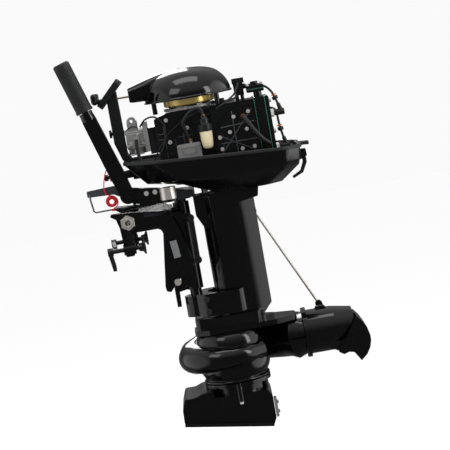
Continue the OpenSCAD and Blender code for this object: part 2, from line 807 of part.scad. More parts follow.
module intake_housing() {
    scoop = [[1, -542], [237, -581], [247, -560], [247, -500], [236, -480], [96, -480],
        [88, -462], [64, -462], [42, -470], [13, -470], [2, -500]];
    color("#17181b") difference() {
        union() {
            cyl_z(-512, flange_z, shaft_x, 0, 81);
            cyl_z(flange_z - 10, flange_z, shaft_x, 0, 90);
            slab(-82, 82) soften(8) polygon(scoop);
            slab(-90, 90) polygon([[1, -542], [237, -581], [240, -572], [4, -533]]);
            for (a = [30:60:330]) cyl_z(-500, flange_z, shaft_x + 84 * cos(a), 84 * sin(a), 8);
        }
        cyl_z(-516, flange_z + 1, shaft_x, 0, impeller_d / 2 + 1);
        hull() {
            cyl_z(-516, -510, shaft_x, 0, impeller_d / 2 + 1);
            translate([0, 0, -1]) slab(-70, 70)
                polygon([[22, -545], [224, -579], [224, -585], [22, -550]]);
        }
    }
    color("#8e9094") for (i = [0:grille_bars - 1])
        let (y = -70 + 140 * (i + 1) / (grille_bars + 1))
            slab(y - 2, y + 2) polygon([[14, -544], [230, -580], [230, -570], [14, -534]]);
}

module anode() {
    color("#b3b4b6") {
        slab(-78, -58) soften(3) polygon([[248, -560], [256, -560], [256, -506], [248, -506]]);
        for (z = [-546, -520]) cyl_x(256, 260, -68, z, 5);
    }
}

module discharge_nozzle() {
    color("#191a1d") difference() {
        union() {
            cyl_x(362, 374, nozzle_y, nozzle_z, 68);
            cyl_x(374, 440, nozzle_y, nozzle_z, 60);
            cyl_x(440, 520, nozzle_y, nozzle_z, 60, 46);
            slab(nozzle_y - 8, nozzle_y + 8) soften(3) polygon([[396, -308], [404, -296],
                [426, -296], [436, -308]]);
            for (side = [-1, 1])
                slab(nozzle_y + side * 54 - 5, nozzle_y + side * 54 + 5) soften(3)
                    polygon([[420, -372], [462, -396], [470, -414], [456, -424], [420, -404]]);
        }
        cyl_x(350, 441, nozzle_y, nozzle_z, 52);
        cyl_x(440, 521, nozzle_y, nozzle_z, 52, 40);
        slab(-80, 100) polygon([[497, -300], [500, -334], [446, -426], [520, -460], [600, -300]]);
        cyl_y(-60, 90, gate_pivot[0], gate_pivot[1], 5 + fit);
    }
    color("#b8b8ba") slab(-66, -58) soften(3)
        polygon([[318, -374], [362, -374], [362, -364], [318, -364]]);
}

// Edges of the raised gate in side view: its back from the upper tip to the lower lip, then its front.
gate_back = [[506, -331], [519, -347], [529, -366], [534, -388], [534, -402], [529, -420],
    [518, -438], [500, -453]];
gate_front = [[484, -427], [470, -424], [456, -428], [444, -420], [442, -408], [450, -400],
    [462, -396], [490, -352]];

module reverse_gate() {
    low = nozzle_y - 66;
    high = nozzle_y + 66;
    color("#1a1b1e") {
        for (y = [low, high - 5]) difference() {
            slab(y, y + 5) polygon(concat(gate_back, gate_front));
            cyl_y(-80, 100, gate_pivot[0], gate_pivot[1], 3);
        }
        slab(low, high) polygon(concat(gate_back, [for (i = [7:-1:0])
            gate_back[i] + 5 * unit([470, -385] - gate_back[i])]));
        cyl_y(high - 2, arm_y + 6, gate_pivot[0], gate_pivot[1], 11);
        slab(arm_y, arm_y + 6) polygon([gate_pivot + [11, 0], rod_pin + [9, 2],
            rod_pin + [-9, -2], gate_pivot + [-11, -4]]);
        cyl_y(arm_y, arm_y + 6, rod_pin[0], rod_pin[1], 10);
    }
    color("#c9c7c3") {
        cyl_y(arm_y + 5, arm_y + 22, rod_pin[0], rod_pin[1], 4);
        for (side = [-1, 1]) {
            y = nozzle_y + side * 66;
            cyl_y(min(y, y - side * 20), max(y, y - side * 20), gate_pivot[0], gate_pivot[1], 5);
        }
        cyl_y(low - 6, low, gate_pivot[0], gate_pivot[1], 8);
    }
}

module gate_rod() {
    y = arm_y + 13;
    top = [284, -14];
    color("#b3b1ae") difference() {
        union() {
            swept([[rod_pin[0], y, rod_pin[1]], [top[0], 64, top[1]]], 3.4, 12);
            cyl_y(y - 6, y + 6, rod_pin[0], rod_pin[1], 9);
            cyl_y(58, 70, top[0], top[1], 8);
        }
        cyl_y(y - 7, y + 7, rod_pin[0], rod_pin[1], 4 + fit);
    }
}

// ---------- turning parts ----------

module flywheel() {
    color("#b6914c") translate([shaft_x, 0, 0]) rotate_extrude() polygon([[10, 332],
        [flywheel_d / 2 - 2, 332], [flywheel_d / 2, 330], [flywheel_d / 2, 308],
        [flywheel_d / 2 - 6, 305], [flywheel_d / 2 - 7, 305], [flywheel_d / 2 - 7, 325],
        [20, 325], [20, 302], [10, 302]]);
}

module crankshaft() {
    color("#9fa1a4") difference() {
        union() {
            cyl_z(92, 300, shaft_x, 0, 20 - fit);
            cyl_z(300, 338, shaft_x, 0, 10);
            for (i = [0, 1]) let (z = cylinder_z[i], side = i == 0 ? 1 : -1) {
                for (low = [z - 16, z + 14]) cyl_z(low, low + 10, shaft_x, 0, 44);
            }
        }
        for (i = [0, 1]) let (z = cylinder_z[i], side = i == 0 ? 1 : -1)
            translate([0, 0, z - 6]) linear_extrude(20) difference() {
                translate([shaft_x, 0]) circle(r = 46);
                translate([shaft_x + side * 27, 0]) circle(r = 12);
            }
        cyl_z(91, 112, shaft_x, 0, 9);
    }
}

module drive_shaft() {
    color("#a5a7a9") {
        cyl_z(-498, 112, shaft_x, 0, 9);
        cyl_z(-430, -322, shaft_x, 0, 10);
    }
}

module impeller() {
    color("#b9bbbd") difference() {
        union() {
            cyl_z(-506, -456, shaft_x, 0, 20, 30);
            for (i = [0:impeller_blades - 1])
                translate([shaft_x, 0, -500]) rotate([0, 0, i * 360 / impeller_blades])
                    linear_extrude(40, twist = 50, slices = 5, $fn = 8)
                        translate([14, -2]) square([impeller_d / 2 - 14, 4]);
        }
        cyl_z(-507, -455, shaft_x, 0, 9);
    }
}

// ---------- tiller and controls ----------

// Turns a tiller drawn along +X into its folded-up place.
module on_tiller() {
    translate([tiller_pivot[0], tiller_y, tiller_pivot[1]]) rotate([0, -90 - tiller_lean, 0])
        children();
}

arm_length = 230;
grip_start = 252;

module tiller_arm() {
    color("#121316") difference() {
        on_tiller() {
            rotate([90, 0, 0]) cylinder(h = 27, r = 21, center = true);
            hull() {
                translate([0, 0, 0]) cube([10, 26, 36], center = true);
                translate([70, 0, 0]) cube([10, 30, 40], center = true);
            }
            hull() {
                translate([70, 0, 0]) cube([10, 30, 40], center = true);
                translate([arm_length - 10, 0, 0]) cube([10, 30, 37], center = true);
            }
            translate([arm_length - 8, 0, 0]) rotate([0, 90, 0]) cylinder(h = 12, r = 19);
            hull() {
                translate([-8, -13, -12]) cube([30, 26, 10]);
                translate([-30, -10, -8]) cube([10, 20, 6]);
            }
        }
        on_tiller() translate([arm_length - 20, 0, 0]) rotate([0, 90, 0])
            cylinder(h = 40, r = 9 + fit);
    }
    color("#b5b3b0") on_tiller() {
        translate([arm_length + 4, 0, 0]) rotate([0, 90, 0]) difference() {
            cylinder(h = 13, r = 18);
            translate([0, 0, -1]) cylinder(h = 18, r = 9 + fit);
        }
        rotate([90, 0, 0]) cylinder(h = 50, r = 7, center = true);
        translate([0, -14, 0]) rotate([90, 0, 0]) cylinder(h = 6, r = 13, $fn = 6);
    }
}

module throttle_grip() {
    color("#2a2a2d") on_tiller() rotate([0, 90, 0]) {
        difference() {
            union() {
                translate([0, 0, grip_start]) cylinder(h = grip_length - 4, r = grip_d / 2);
                translate([0, 0, grip_start + grip_length - 4])
                    cylinder(h = 4, r1 = grip_d / 2, r2 = grip_d / 2 - 4);
                translate([0, 0, grip_start - 4]) cylinder(h = 8, r = grip_d / 2 + 1);
            }
            for (i = [0:23]) rotate([0, 0, i * 15])
                translate([grip_d / 2, 0, grip_start + 10]) cylinder(h = 112, r = 0.9, $fn = 12);
        }
        translate([0, 0, arm_length - 20 + gap]) cylinder(h = 60, r = 9);
    }
}

module shift_lever() {
    color("#3a3c3f") {
        difference() {
            slab(-36, -28) soften(3) polygon([[-149, 106], [-149, 123], [-78, 126], [-44, 120],
                [-38, 108], [-46, 98], [-64, 95], [-78, 103]]);
            cyl_y(-39, -20, -48, 109, 4);
        }
        cyl_y(-40 + gap, -26, -48, 109, 3.9);
    }
}

module shift_link() {
    color("#6f7174") swept([[-142, -38.6, 114], [-142, -38.6, 98], [-138, -38.6, 68],
        [-134, -38.6, 64], [-20, -38.6, 65]], 2.5);
}

module stop_switch() {
    color("#18191b") difference() {
        union() {
            cyl_x(-76, 0, switch_at[1], 147, 11);
            cyl_x(-20, 0, switch_at[1], 147, 17);
        }
        cyl_x(-77, -60, switch_at[1], 147, 5 + fit);
    }
}

module stop_button() {
    color("#141517") {
        cyl_x(-98, -88, switch_at[1], 147, 9);
        cyl_x(-88, -64, switch_at[1], 147, 5);
    }
}

module lanyard_fittings() {
    color("#b3262b") {
        difference() {
            union() {
                cyl_x(-84 + gap, -76, switch_at[1], 147, 12);
                slab(switch_at[1] - 5, switch_at[1] + 5) polygon([[-83.7, 154], [-76, 154],
                    [-76, 166], [-83.7, 166]]);
            }
            cyl_x(-90, -70, switch_at[1], 147, 5.6);
        }
        translate([-86, -50, 64.5]) rotate([0, 8, 0]) cube([8, 16, 6], center = true);
    }
}

// Route of the loose end of the safety lanyard, laid by hand.
cord_route = [[-80, 14, 167.6], [-84, 4, 173], [-92, -16, 162], [-92, -34, 142], [-88, -46, 118],
    [-86, -50, 105]];

module lanyard_cord() {
    color("#c22a2e") swept(spline(cord_route, 4), 1.4);
}

module lanyard_coil() {
    color("#b3262b") translate([-86, -50, 87]) rotate([90, 0, 0]) rotate_extrude()
        translate([14, 0]) square([6, 12], center = true);
}

module choke_knob() {
    color("#141517") {
        cyl_x(-62, -56, -14, 262, 11);
        cyl_x(-56, -21, -14, 262, 5);
    }
}

module cowl_latch() {
    color("#1d1e21") difference() {
        slab(-10, 10) soften(2) polygon([[435, 126], [446, 126], [446, 98], [432, 72], [404, 60],
            [402, 66], [426, 78], [436, 100]]);
    }
    color("#8c8e91") cyl_y(-17, 17, 440, 120, 2.95);
}

clamp_bracket_port();
clamp_bracket_starboard();
tilt_tube();
tilt_pin();
clamp_pad_port();
clamp_pad_starboard();
clamp_screw_port();
clamp_screw_starboard();
swivel_bracket();
tilt_support_arm();
steering_bracket();
mount_sleeves();
lower_mount_housing();
upper_casing();
bottom_cowl();
cowl_seal();
crankcase();
cylinder_block();
exhaust_cover();
cylinder_head();
gaskets();
engine_bolts();
pistons();
spark_plugs();
plug_caps();
plug_leads();
ignition_unit();
stator_plate();
recoil_cover();
rope_guide_post();
carburetor();
fuel_pump();
fuel_filter();
fuel_hoses();
coolant_hose();
adapter_plate();
volute_casing();
intake_housing();
discharge_nozzle();
anode();
flywheel();
crankshaft();
drive_shaft();
impeller();
starter_spool();
starter_handle();
starter_rope();
tiller_arm();
throttle_grip();
shift_lever();
shift_link();
reverse_gate();
gate_rod();
cowl_latch();
stop_switch();
stop_button();
choke_knob();
lanyard_fittings();
lanyard_cord();
lanyard_coil();
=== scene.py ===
"""Jet-drive outboard motor with its top cowl off, tiller folded up, standing as it hangs on a transom."""
import math

import bmesh
import bpy
from mathutils import Matrix, Vector


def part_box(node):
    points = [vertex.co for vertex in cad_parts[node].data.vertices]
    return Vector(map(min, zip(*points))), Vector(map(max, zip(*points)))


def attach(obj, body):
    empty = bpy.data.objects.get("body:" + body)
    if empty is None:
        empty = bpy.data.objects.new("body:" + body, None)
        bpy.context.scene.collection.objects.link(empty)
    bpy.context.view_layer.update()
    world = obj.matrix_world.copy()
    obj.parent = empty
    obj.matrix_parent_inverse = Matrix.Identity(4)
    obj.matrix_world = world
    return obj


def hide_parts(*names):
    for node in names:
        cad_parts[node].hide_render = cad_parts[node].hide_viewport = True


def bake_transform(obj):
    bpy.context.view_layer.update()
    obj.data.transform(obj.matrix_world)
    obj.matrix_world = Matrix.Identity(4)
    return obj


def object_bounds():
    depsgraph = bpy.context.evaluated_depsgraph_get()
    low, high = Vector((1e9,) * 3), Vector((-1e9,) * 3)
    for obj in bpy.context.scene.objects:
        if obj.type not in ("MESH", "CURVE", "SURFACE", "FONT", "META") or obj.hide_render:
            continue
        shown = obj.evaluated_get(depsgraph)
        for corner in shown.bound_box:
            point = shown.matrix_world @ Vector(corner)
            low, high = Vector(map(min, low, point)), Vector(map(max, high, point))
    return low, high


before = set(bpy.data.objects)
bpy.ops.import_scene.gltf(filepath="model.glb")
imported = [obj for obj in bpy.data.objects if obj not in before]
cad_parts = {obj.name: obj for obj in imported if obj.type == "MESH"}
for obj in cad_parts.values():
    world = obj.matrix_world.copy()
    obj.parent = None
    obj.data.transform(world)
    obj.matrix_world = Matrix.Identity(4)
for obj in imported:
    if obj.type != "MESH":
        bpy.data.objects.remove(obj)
cad_box = [list(corner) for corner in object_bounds()]

# ---- Camera ----
# A long lens from the port side, a little above level, rolled so that the leg leans as it does when the
# motor hangs on its stand.
AIM = Vector((0.200, 0.0, -0.033))
DISTANCE = 4.6
elevation = math.radians(6.0)
roll = math.radians(10.0)
lens = bpy.data.cameras.new("studio_camera")
lens.lens = 36.0 * DISTANCE / 1.215
lens.sensor_width = 36.0
lens.clip_end = 60.0
camera = bpy.data.objects.new("studio_camera", lens)
bpy.context.scene.collection.objects.link(camera)
view_dir = Vector((0, math.cos(elevation), -math.sin(elevation)))
level_right = Vector((1, 0, 0))
level_up = level_right.cross(view_dir)
right = math.cos(roll) * level_right - math.sin(roll) * level_up
up = math.cos(roll) * level_up + math.sin(roll) * level_right
camera.matrix_world = Matrix.Translation(AIM - view_dir * DISTANCE) @ Matrix(
    (right, up, -view_dir)).transposed().to_4x4()
bpy.context.scene.camera = camera

# ---- Safety lanyard ----
# A red vinyl-covered cord from the clip on the stop switch, wound into its own springy coil and ending in
# the wrist clip. The two clips are red moulded nylon.


def linear(code):
    """An sRGB hex colour as linear red, green, blue and alpha."""
    parts = [int(code[i:i + 2], 16) / 255 for i in (1, 3, 5)]
    return [c / 12.92 if c <= 0.04045 else ((c + 0.055) / 1.055) ** 2.4 for c in parts] + [1.0]


def node(tree, kind, settings=None, links=None):
    """Adds a shader node; settings name its properties or sockets, links name the sockets fed to it."""
    made = tree.nodes.new("ShaderNode" + kind)
    for key, value in (settings or {}).items():
        if isinstance(key, str) and hasattr(made, key) and key not in made.inputs:
            setattr(made, key, value)
        else:
            made.inputs[key].default_value = value
    for key, source in (links or {}).items():
        tree.links.new(source, made.inputs[key])
    return made


def surface(name, colour, roughness, metallic=0.0, mottling=0.0, grain_mm=1.0, bump=0.0, coat=0.0,
            edge_wear_and_highlight=None, ior=1.5, gloss=0.5):
    """A painted, cast or moulded finish: faintly mottled colour, uneven gloss, surface grain of
    grain_mm and, where an edge colour is given, that colour painted on the convex edges, partly as wear
    where hands and tools reach and partly as a painted highlight."""
    material = bpy.data.materials.new(name)
    material.use_nodes = True
    tree = material.node_tree
    shader = tree.nodes["Principled BSDF"]
    shader.inputs["Metallic"].default_value = metallic
    if not metallic:
        shader.inputs["IOR"].default_value = ior
        shader.inputs["Specular IOR Level"].default_value = gloss
    shader.inputs["Coat Weight"].default_value = coat
    shader.inputs["Coat Roughness"].default_value = 0.05
    place = node(tree, "TexCoord")
    broad = node(tree, "TexNoise", {"Scale": 14.0, "Detail": 4.0, "Roughness": 0.6},
                 {"Vector": place.outputs["Object"]})
    fine = node(tree, "TexNoise", {"Scale": 1000.0 / grain_mm, "Detail": 3.0},
                {"Vector": place.outputs["Object"]})
    base = linear(colour)
    light = [min(1.0, c * (1 + mottling)) for c in base[:3]] + [1.0]
    dark = [c * (1 - mottling) for c in base[:3]] + [1.0]
    tone = node(tree, "Mix", {"data_type": "RGBA", 6: dark, 7: light}, {0: broad.outputs["Fac"]})
    shade = tone.outputs[2]
    # Convex edges, found by pointiness, are painted in the edge colour: partly wear, partly a painted
    # highlight.
    if edge_wear_and_highlight:
        shape = node(tree, "NewGeometry")
        edge = node(tree, "MapRange", {"From Min": 0.54, "From Max": 0.66},
                    {"Value": shape.outputs["Pointiness"]})
        patchy = node(tree, "Math", {"operation": "MULTIPLY"},
                      {0: edge.outputs["Result"], 1: broad.outputs["Fac"]})
        edge_wear_and_highlight_mix = node(tree, "Mix", {"data_type": "RGBA", 7: linear(edge_wear_and_highlight)},
                    {0: patchy.outputs["Value"], 6: shade})
        shade = edge_wear_and_highlight_mix.outputs[2]
    tree.links.new(shade, shader.inputs["Base Color"])
    uneven = node(tree, "MapRange", {"To Min": max(0.03, roughness - 0.05), "To Max": roughness + 0.07},
                  {"Value": broad.outputs["Fac"]})
    tree.links.new(uneven.outputs["Result"], shader.inputs["Roughness"])
    if bump:
        raised = node(tree, "Bump", {"Strength": min(1.0, bump), "Distance": grain_mm * 0.0004},
                      {"Height": fine.outputs["Fac"]})
        tree.links.new(raised.outputs["Normal"], shader.inputs["Normal"])
    return material


def dress(material, *names, edge_mm=1.2):
    """Gives CAD nodes their finish, and the small radius that casting or moulding leaves on edges."""
    for name in names:
        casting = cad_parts[name]
        casting.data.materials.clear()
        casting.data.materials.append(material)
        casting.data.shade_smooth()
        casting.modifiers.new("weld", "WELD").merge_threshold = 0.00002
        edges = casting.modifiers.new("edges", "BEVEL")
        edges.width, edges.segments = edge_mm / 1000, 2
        edges.limit_method, edges.angle_limit = "ANGLE", math.radians(35)
        casting.modifiers.new("shading", "WEIGHTED_NORMAL")


def flexible(name, points, radius_mm, material, body, *nodes):
    """A hose, lead or cord laid along points in millimetres, riding on a body."""
    data = bpy.data.curves.new(name, "CURVE")
    data.dimensions = "3D"
    data.bevel_depth = radius_mm / 1000
    data.bevel_resolution = 4
    data.use_fill_caps = True
    run = data.splines.new("POLY")
    run.points.add(len(points) - 1)
    for point, spot in zip(run.points, points):
        point.co = (spot[0] / 1000, spot[1] / 1000, spot[2] / 1000, 1.0)
    run.use_smooth = True
    data.materials.append(material)
    piece = bpy.data.objects.new(name, data)
    bpy.context.scene.collection.objects.link(piece)
    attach(piece, body)
    if nodes:
        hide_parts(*nodes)
    return piece


def eased(points, steps=8):
    """A smooth run through a few given points."""
    line = []
    for i in range(len(points) - 1):
        a, b = Vector(points[max(i - 1, 0)]), Vector(points[i])
        c, d = Vector(points[i + 1]), Vector(points[min(i + 2, len(points) - 1)])
        for s in range(steps):
            u = s / steps
            line.append(0.5 * (2 * b + (c - a) * u + (2 * a - 5 * b + 4 * c - d) * u * u
                               + (3 * b - a - 3 * c + d) * u ** 3))
    return line + [Vector(points[-1])]


# Glossy plasticised vinyl: even, saturated red with a soft highlight along the cord.
lanyard_red = surface("red_vinyl_cord_cover", "#c00f1c", 0.32, mottling=0.06, grain_mm=0.8, bump=0.1)
# Moulded nylon: a little duller than the cord, fine moulding grain.
clip_red = surface("red_moulded_nylon", "#b5121d", 0.34, mottling=0.08, grain_mm=0.8, bump=0.2, coat=0.2)
dress(clip_red, "lanyard_fittings", edge_mm=0.8)
lead_in = eased([(-80, 14, 167.6), (-84, 4, 173), (-92, -16, 162), (-98, -34, 142), (-101, -44, 122),
                 (-96, -49, 107.5), (-86, -50.1, 102.4)], 5)
coil = []
for i in range(1, 97):
    turn = i / 16
    inward = min(turn, 3.0) - max(0.0, turn - 3.0)
    radius = 15.4 - 2.8 * inward
    y = -51.6 + 1.5 * math.tanh(3 * (3.0 - turn))
    coil.append(Vector((-86 + radius * math.sin(math.tau * turn), y,
                        87 + radius * math.cos(math.tau * turn))))
tail = eased([tuple(coil[-1]), (-76, -53.4, 98.6), (-69.6, -53.6, 88), (-73, -52.6, 74), (-84, -51,
                                                                                          67.2)], 5)[1:]
cord_line = lead_in + coil + tail
lanyard = flexible("lanyard", cord_line, 1.35, lanyard_red, "engine", "lanyard_cord", "lanyard_coil")

# ---- Transom clamp ----
# Two aluminium brackets, cast, machined where they pivot and painted gloss black; they hook over the
# transom and are joined by a stainless tube that the steering cable slides in. A stainless pin with a
# split ring sets the running angle.

# Baked gloss paint over a casting: near black, sharp highlights, faint orange-peel, and its edges
# painted a shade lighter as a painted highlight.
gloss_black = surface("gloss_black_paint_on_cast_aluminium", "#040405", 0.11, mottling=0.08, grain_mm=2.4,
                      bump=0.06, coat=0.2, edge_wear_and_highlight="#232427", gloss=0.34)
# Stainless steel, turned: bright, with the faint unevenness of a lathe finish.
stainless = surface("turned_stainless_steel", "#dcd7cf", 0.24, metallic=0.8, mottling=0.1, grain_mm=0.6,
                    bump=0.15)
dress(gloss_black, "clamp_bracket_port", "clamp_bracket_starboard")
dress(stainless, "tilt_tube", "tilt_pin", edge_mm=0.6)

# ---- Clamp screws and pads ----
# Steel screws with forged folding handles and swivelling pads, painted satin black against rust.
# Satin paint on steel: slightly greyer than the castings, its edges painted a metal grey, partly as
# wear where fingers hold it and partly as a painted highlight.
painted_steel = surface("satin_black_paint_on_steel", "#101113", 0.34, mottling=0.15, grain_mm=1.0,
                        bump=0.25, edge_wear_and_highlight="#55565a")
dress(painted_steel, "clamp_pad_port", "clamp_pad_starboard", "clamp_screw_port", "clamp_screw_starboard")

# ---- Swivel bracket and tilt support arm ----
# A ribbed aluminium casting that tilts on the tube and carries the steering pivot; a pressed steel arm
# on its port side props the motor up in shallow water.
dress(gloss_black, "swivel_bracket")
dress(painted_steel, "tilt_support_arm")

# ---- Data plate ----
# A thin aluminium plate riveted to the port bracket, left blank.


def new_piece(name, shape, material, body, *nodes, edge_mm=1.0):
    """Makes a shown piece of a finished bmesh, gives it its finish and fixes it to a CAD body, or to
    none where it will stretch between two."""
    bmesh.ops.remove_doubles(shape, verts=shape.verts, dist=0.00002)
    bmesh.ops.recalc_face_normals(shape, faces=shape.faces)
    data = bpy.data.meshes.new(name)
    shape.to_mesh(data)
    shape.free()
    data.shade_smooth()
    data.materials.append(material)
    piece = bpy.data.objects.new(name, data)
    bpy.context.scene.collection.objects.link(piece)
    if edge_mm:
        edge = piece.modifiers.new("edges", "BEVEL")
        edge.width, edge.segments = edge_mm / 1000, 2
        edge.limit_method, edge.angle_limit = "ANGLE", math.radians(35)
    piece.modifiers.new("shading", "WEIGHTED_NORMAL")
    if body:
        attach(piece, body)
    if nodes:
        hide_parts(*nodes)
    return piece


def block(shape, low, high, turn=None):
    """Adds a box between two corners in millimetres, turned about its centre if asked."""
    centre = (Vector(low) + Vector(high)) / 2000
    size = [(h - l) / 1000 for l, h in zip(low, high)]
    matrix = Matrix.Translation(centre) @ (turn or Matrix()) @ Matrix.Diagonal((*size, 1.0))
    return bmesh.ops.create_cube(shape, size=1.0, matrix=matrix)["verts"]


def round_bar(shape, start, end, radius, sides=24, radius2=None):
    """Adds a cylinder or cone between two points in millimetres."""
    a, b = Vector(start) / 1000, Vector(end) / 1000
    turn = (b - a).to_track_quat("Z", "Y").to_matrix().to_4x4()
    bmesh.ops.create_cone(shape, cap_ends=True, segments=sides, radius1=radius / 1000,
                          radius2=(radius if radius2 is None else radius2) / 1000,
                          depth=(b - a).length, matrix=Matrix.Translation((a + b) / 2) @ turn)


# Brushed aluminium sheet, pale and dull.
plate_metal = surface("brushed_aluminium_plate", "#b9bbbd", 0.42, metallic=0.9, mottling=0.12, grain_mm=0.7,
                      bump=0.3)
plate = bmesh.new()
block(plate, (51, -117.9, -84), (69, -116.6, -38), Matrix.Rotation(math.radians(-6), 4, "Y"))
for z in (-80, -42):
    round_bar(plate, (60, -118.6, z), (60, -117.4, z), 1.6, 12)
new_piece("data_plate", plate, plate_metal, "transom_clamp", edge_mm=0.3)

# ---- Steering bracket, mounts and lower mount housing ----
# The painted casting that carries the engine on rubber mounts in steel sleeves, above and below.
dress(gloss_black, "steering_bracket", "lower_mount_housing")
dress(stainless, "mount_sleeves", edge_mm=0.8)
# Moulded rubber: matt, dark grey-black.
rubber = surface("black_rubber_moulding", "#131416", 0.6, mottling=0.15, grain_mm=0.8, bump=0.4)
cushions = bmesh.new()
round_bar(cushions, (66, -84.6, 76), (66, -84.6, 101), 11.6, 32)
for z in (-216, -250):
    for y in (-1, 1):
        round_bar(cushions, (118, y * 56, z), (118, y * 62.5, z), 8, 24)
new_piece("mount_rubbers", cushions, rubber, "engine", edge_mm=0.8)

# ---- Leg ----
# The exhaust and drive shaft casing, a hollow aluminium casting of streamlined section.
dress(gloss_black, "upper_casing", "adapter_plate", edge_mm=2.0)

# ---- Bottom cowl ----
# A pressed pan round the powerhead, painted gloss black outside, with a rubber seal for the top cowl and
# a spring latch at the stern.
dress(gloss_black, "bottom_cowl", edge_mm=2.4)
dress(rubber, "cowl_seal", edge_mm=2.0)
# Glass-filled nylon as moulded: satin, fine grain.
nylon = surface("moulded_black_nylon", "#0f1012", 0.36, mottling=0.1, grain_mm=0.9, bump=0.25, gloss=0.4)
dress(nylon, "cowl_latch", "stop_switch", "stop_button", "choke_knob", "ignition_unit", "rope_guide_post")

# ---- Powerhead ----
# Two-cylinder block, crankcase, exhaust cover and head: cast aluminium, machined at the joints and
# sprayed satin black, with green paper gaskets showing at the seams.
# Sprayed satin paint on a sand casting: grainy, lower gloss than the leg, with its edges painted a
# shade lighter as a painted highlight.
satin_black = surface("satin_black_paint_on_castings", "#070809", 0.22, mottling=0.3, grain_mm=1.6,
                      bump=0.3, coat=0.15, edge_wear_and_highlight="#303134", gloss=0.36)
dress(satin_black, "crankcase", "cylinder_block", "exhaust_cover", "cylinder_head", edge_mm=1.6)
# Gasket paper with its sealing bead, dull green.
gasket_paper = surface("green_gasket_paper", "#1b5c49", 0.62, mottling=0.15, grain_mm=1.0, bump=0.3)
dress(gasket_paper, "gaskets", edge_mm=0.3)
# Zinc-plated bolts: pale, slightly dull steel.
plated = surface("zinc_plated_bolts", "#b9b8b4", 0.34, metallic=0.55, mottling=0.15, grain_mm=0.7, bump=0.2)
dress(plated, "engine_bolts", edge_mm=0.5)
# Bare cast aluminium: light grey, open grain, its convex edges painted paler, partly as wear and
# partly as a painted highlight.
bare_casting = surface("bare_cast_aluminium", "#8d8d8c", 0.4, metallic=0.45, mottling=0.3, grain_mm=1.2,
                       bump=0.6, edge_wear_and_highlight="#c4c4c2")
dress(bare_casting, "pistons", "impeller")
# Machined steel with a film of oil.
machined = surface("machined_steel_oiled", "#8b8d91", 0.3, metallic=1.0, mottling=0.12, grain_mm=0.6,
                   bump=0.2)
dress(machined, "crankshaft", "shift_link", edge_mm=0.5)
dress(stainless, "drive_shaft", edge_mm=0.5)
ribs = bmesh.new()
for a, b in (((222, 158), (320, 268)), ((222, 214), (316, 160)), ((268, 156), (268, 270)),
             ((228, 190), (322, 190)), ((232, 232), (322, 236))):
    run = Vector((b[0] - a[0], 0, b[1] - a[1]))
    turn = Matrix.Rotation(-math.atan2(run.z, run.x), 4, "Y")
    middle = Vector(((a[0] + b[0]) / 2, -103.4, (a[1] + b[1]) / 2))
    half = Vector((run.length / 2, 1.6, 1.5))
    block(ribs, middle - half, middle + half, turn)
for z in (150, 164, 226, 240):
    block(ribs, (68, -65, z - 1.5), (158, -61.5, z + 1.5))
for x in (84, 110, 134):
    block(ribs, (x - 1.5, -65.5, 124), (x + 1.5, -61.5, 270))
for z in (140, 186, 232):
    block(ribs, (216, -76.5, z - 2), (330, -72, z + 2))
# The same paint made a shade greyer on the ribs as a painted reflection, so that they read as lighter
# lines, with sharper glints and their edges painted lighter still as a painted highlight.
rib_paint_with_painted_reflection = surface("satin_black_paint_lightened_as_painted_reflection_on_ribs", "#1b1c1e", 0.2, mottling=0.3, grain_mm=1.6,
                         bump=0.2, coat=0.3, edge_wear_and_highlight="#6a6b6e")
new_piece("casting_ribs", ribs, rib_paint_with_painted_reflection, "engine", edge_mm=0.8)

# ---- Ignition ----
# Spark plugs of white glazed ceramic, rubber caps, and two moulded high-tension leads from the coil.
# Glazed ceramic: clean, hard highlight.
ceramic = surface("white_glazed_ceramic", "#e9e6dd", 0.16, grain_mm=1.0, mottling=0.03, coat=0.5)
dress(ceramic, "spark_plugs", edge_mm=0.5)
dress(rubber, "plug_caps", edge_mm=1.2)
leads = [("plug_lead_upper", [(318, 26, 326), (346, 20, 327), (370, 6, 316), (384, 0, 300), (391, 0, 282),
                             (396, 0, 265)]),
         ("plug_lead_lower", [(314, 89, 262), (352, 94, 258), (384, 76, 252), (390, 34, 240), (390, 6, 220),
                             (392, 0, 198), (396, 0, 174)])]
for name, route in leads:
    flexible(name, eased(route), 3.2, rubber, "engine", *(["plug_leads"] if route is leads[0][1] else []))
boots = bmesh.new()
round_bar(boots, (389.4, 0, 286.7), (392.6, 0, 277.3), 8, 32)
round_bar(boots, (391.3, 0, 203), (392.7, 0, 193), 8, 32)
new_piece("lead_boots", boots, rubber, "engine", edge_mm=1.5)
# Orange silicone seals at the joints of the leads: soft, slightly translucent-looking moulding.
seal_orange = surface("orange_silicone_seals", "#c86a1e", 0.4, mottling=0.08, grain_mm=1.0, bump=0.1)
seals = bmesh.new()
round_bar(seals, (389.6, 0, 289.2), (388.9, 0, 291.8), 7.4, 32)
round_bar(seals, (391.1, 0, 205.4), (390.6, 0, 208.6), 7.4, 32)
new_piece("lead_seals", seals, seal_orange, "engine", edge_mm=0.6)
dress(bare_casting, "stator_plate", edge_mm=0.6)

# ---- Flywheel ----
# Steel flywheel under the starter, zinc plated and yellow passivated.
# Yellow passivate on zinc: brassy, a little uneven, with a brushed edge.
yellow_zinc = surface("yellow_passivated_zinc", "#c9b06c", 0.26, metallic=0.6, mottling=0.2, grain_mm=0.8,
                      bump=0.2)
dress(yellow_zinc, "flywheel", edge_mm=0.8)
dress(nylon, "starter_spool", edge_mm=0.8)

# ---- Recoil starter cover ----
# A pressed steel dome over the flywheel, painted gloss black, with a rolled notched lip, a snout that the
# pull rope leaves through, and three legs bolted to the block.
SHAFT_X = 162.0


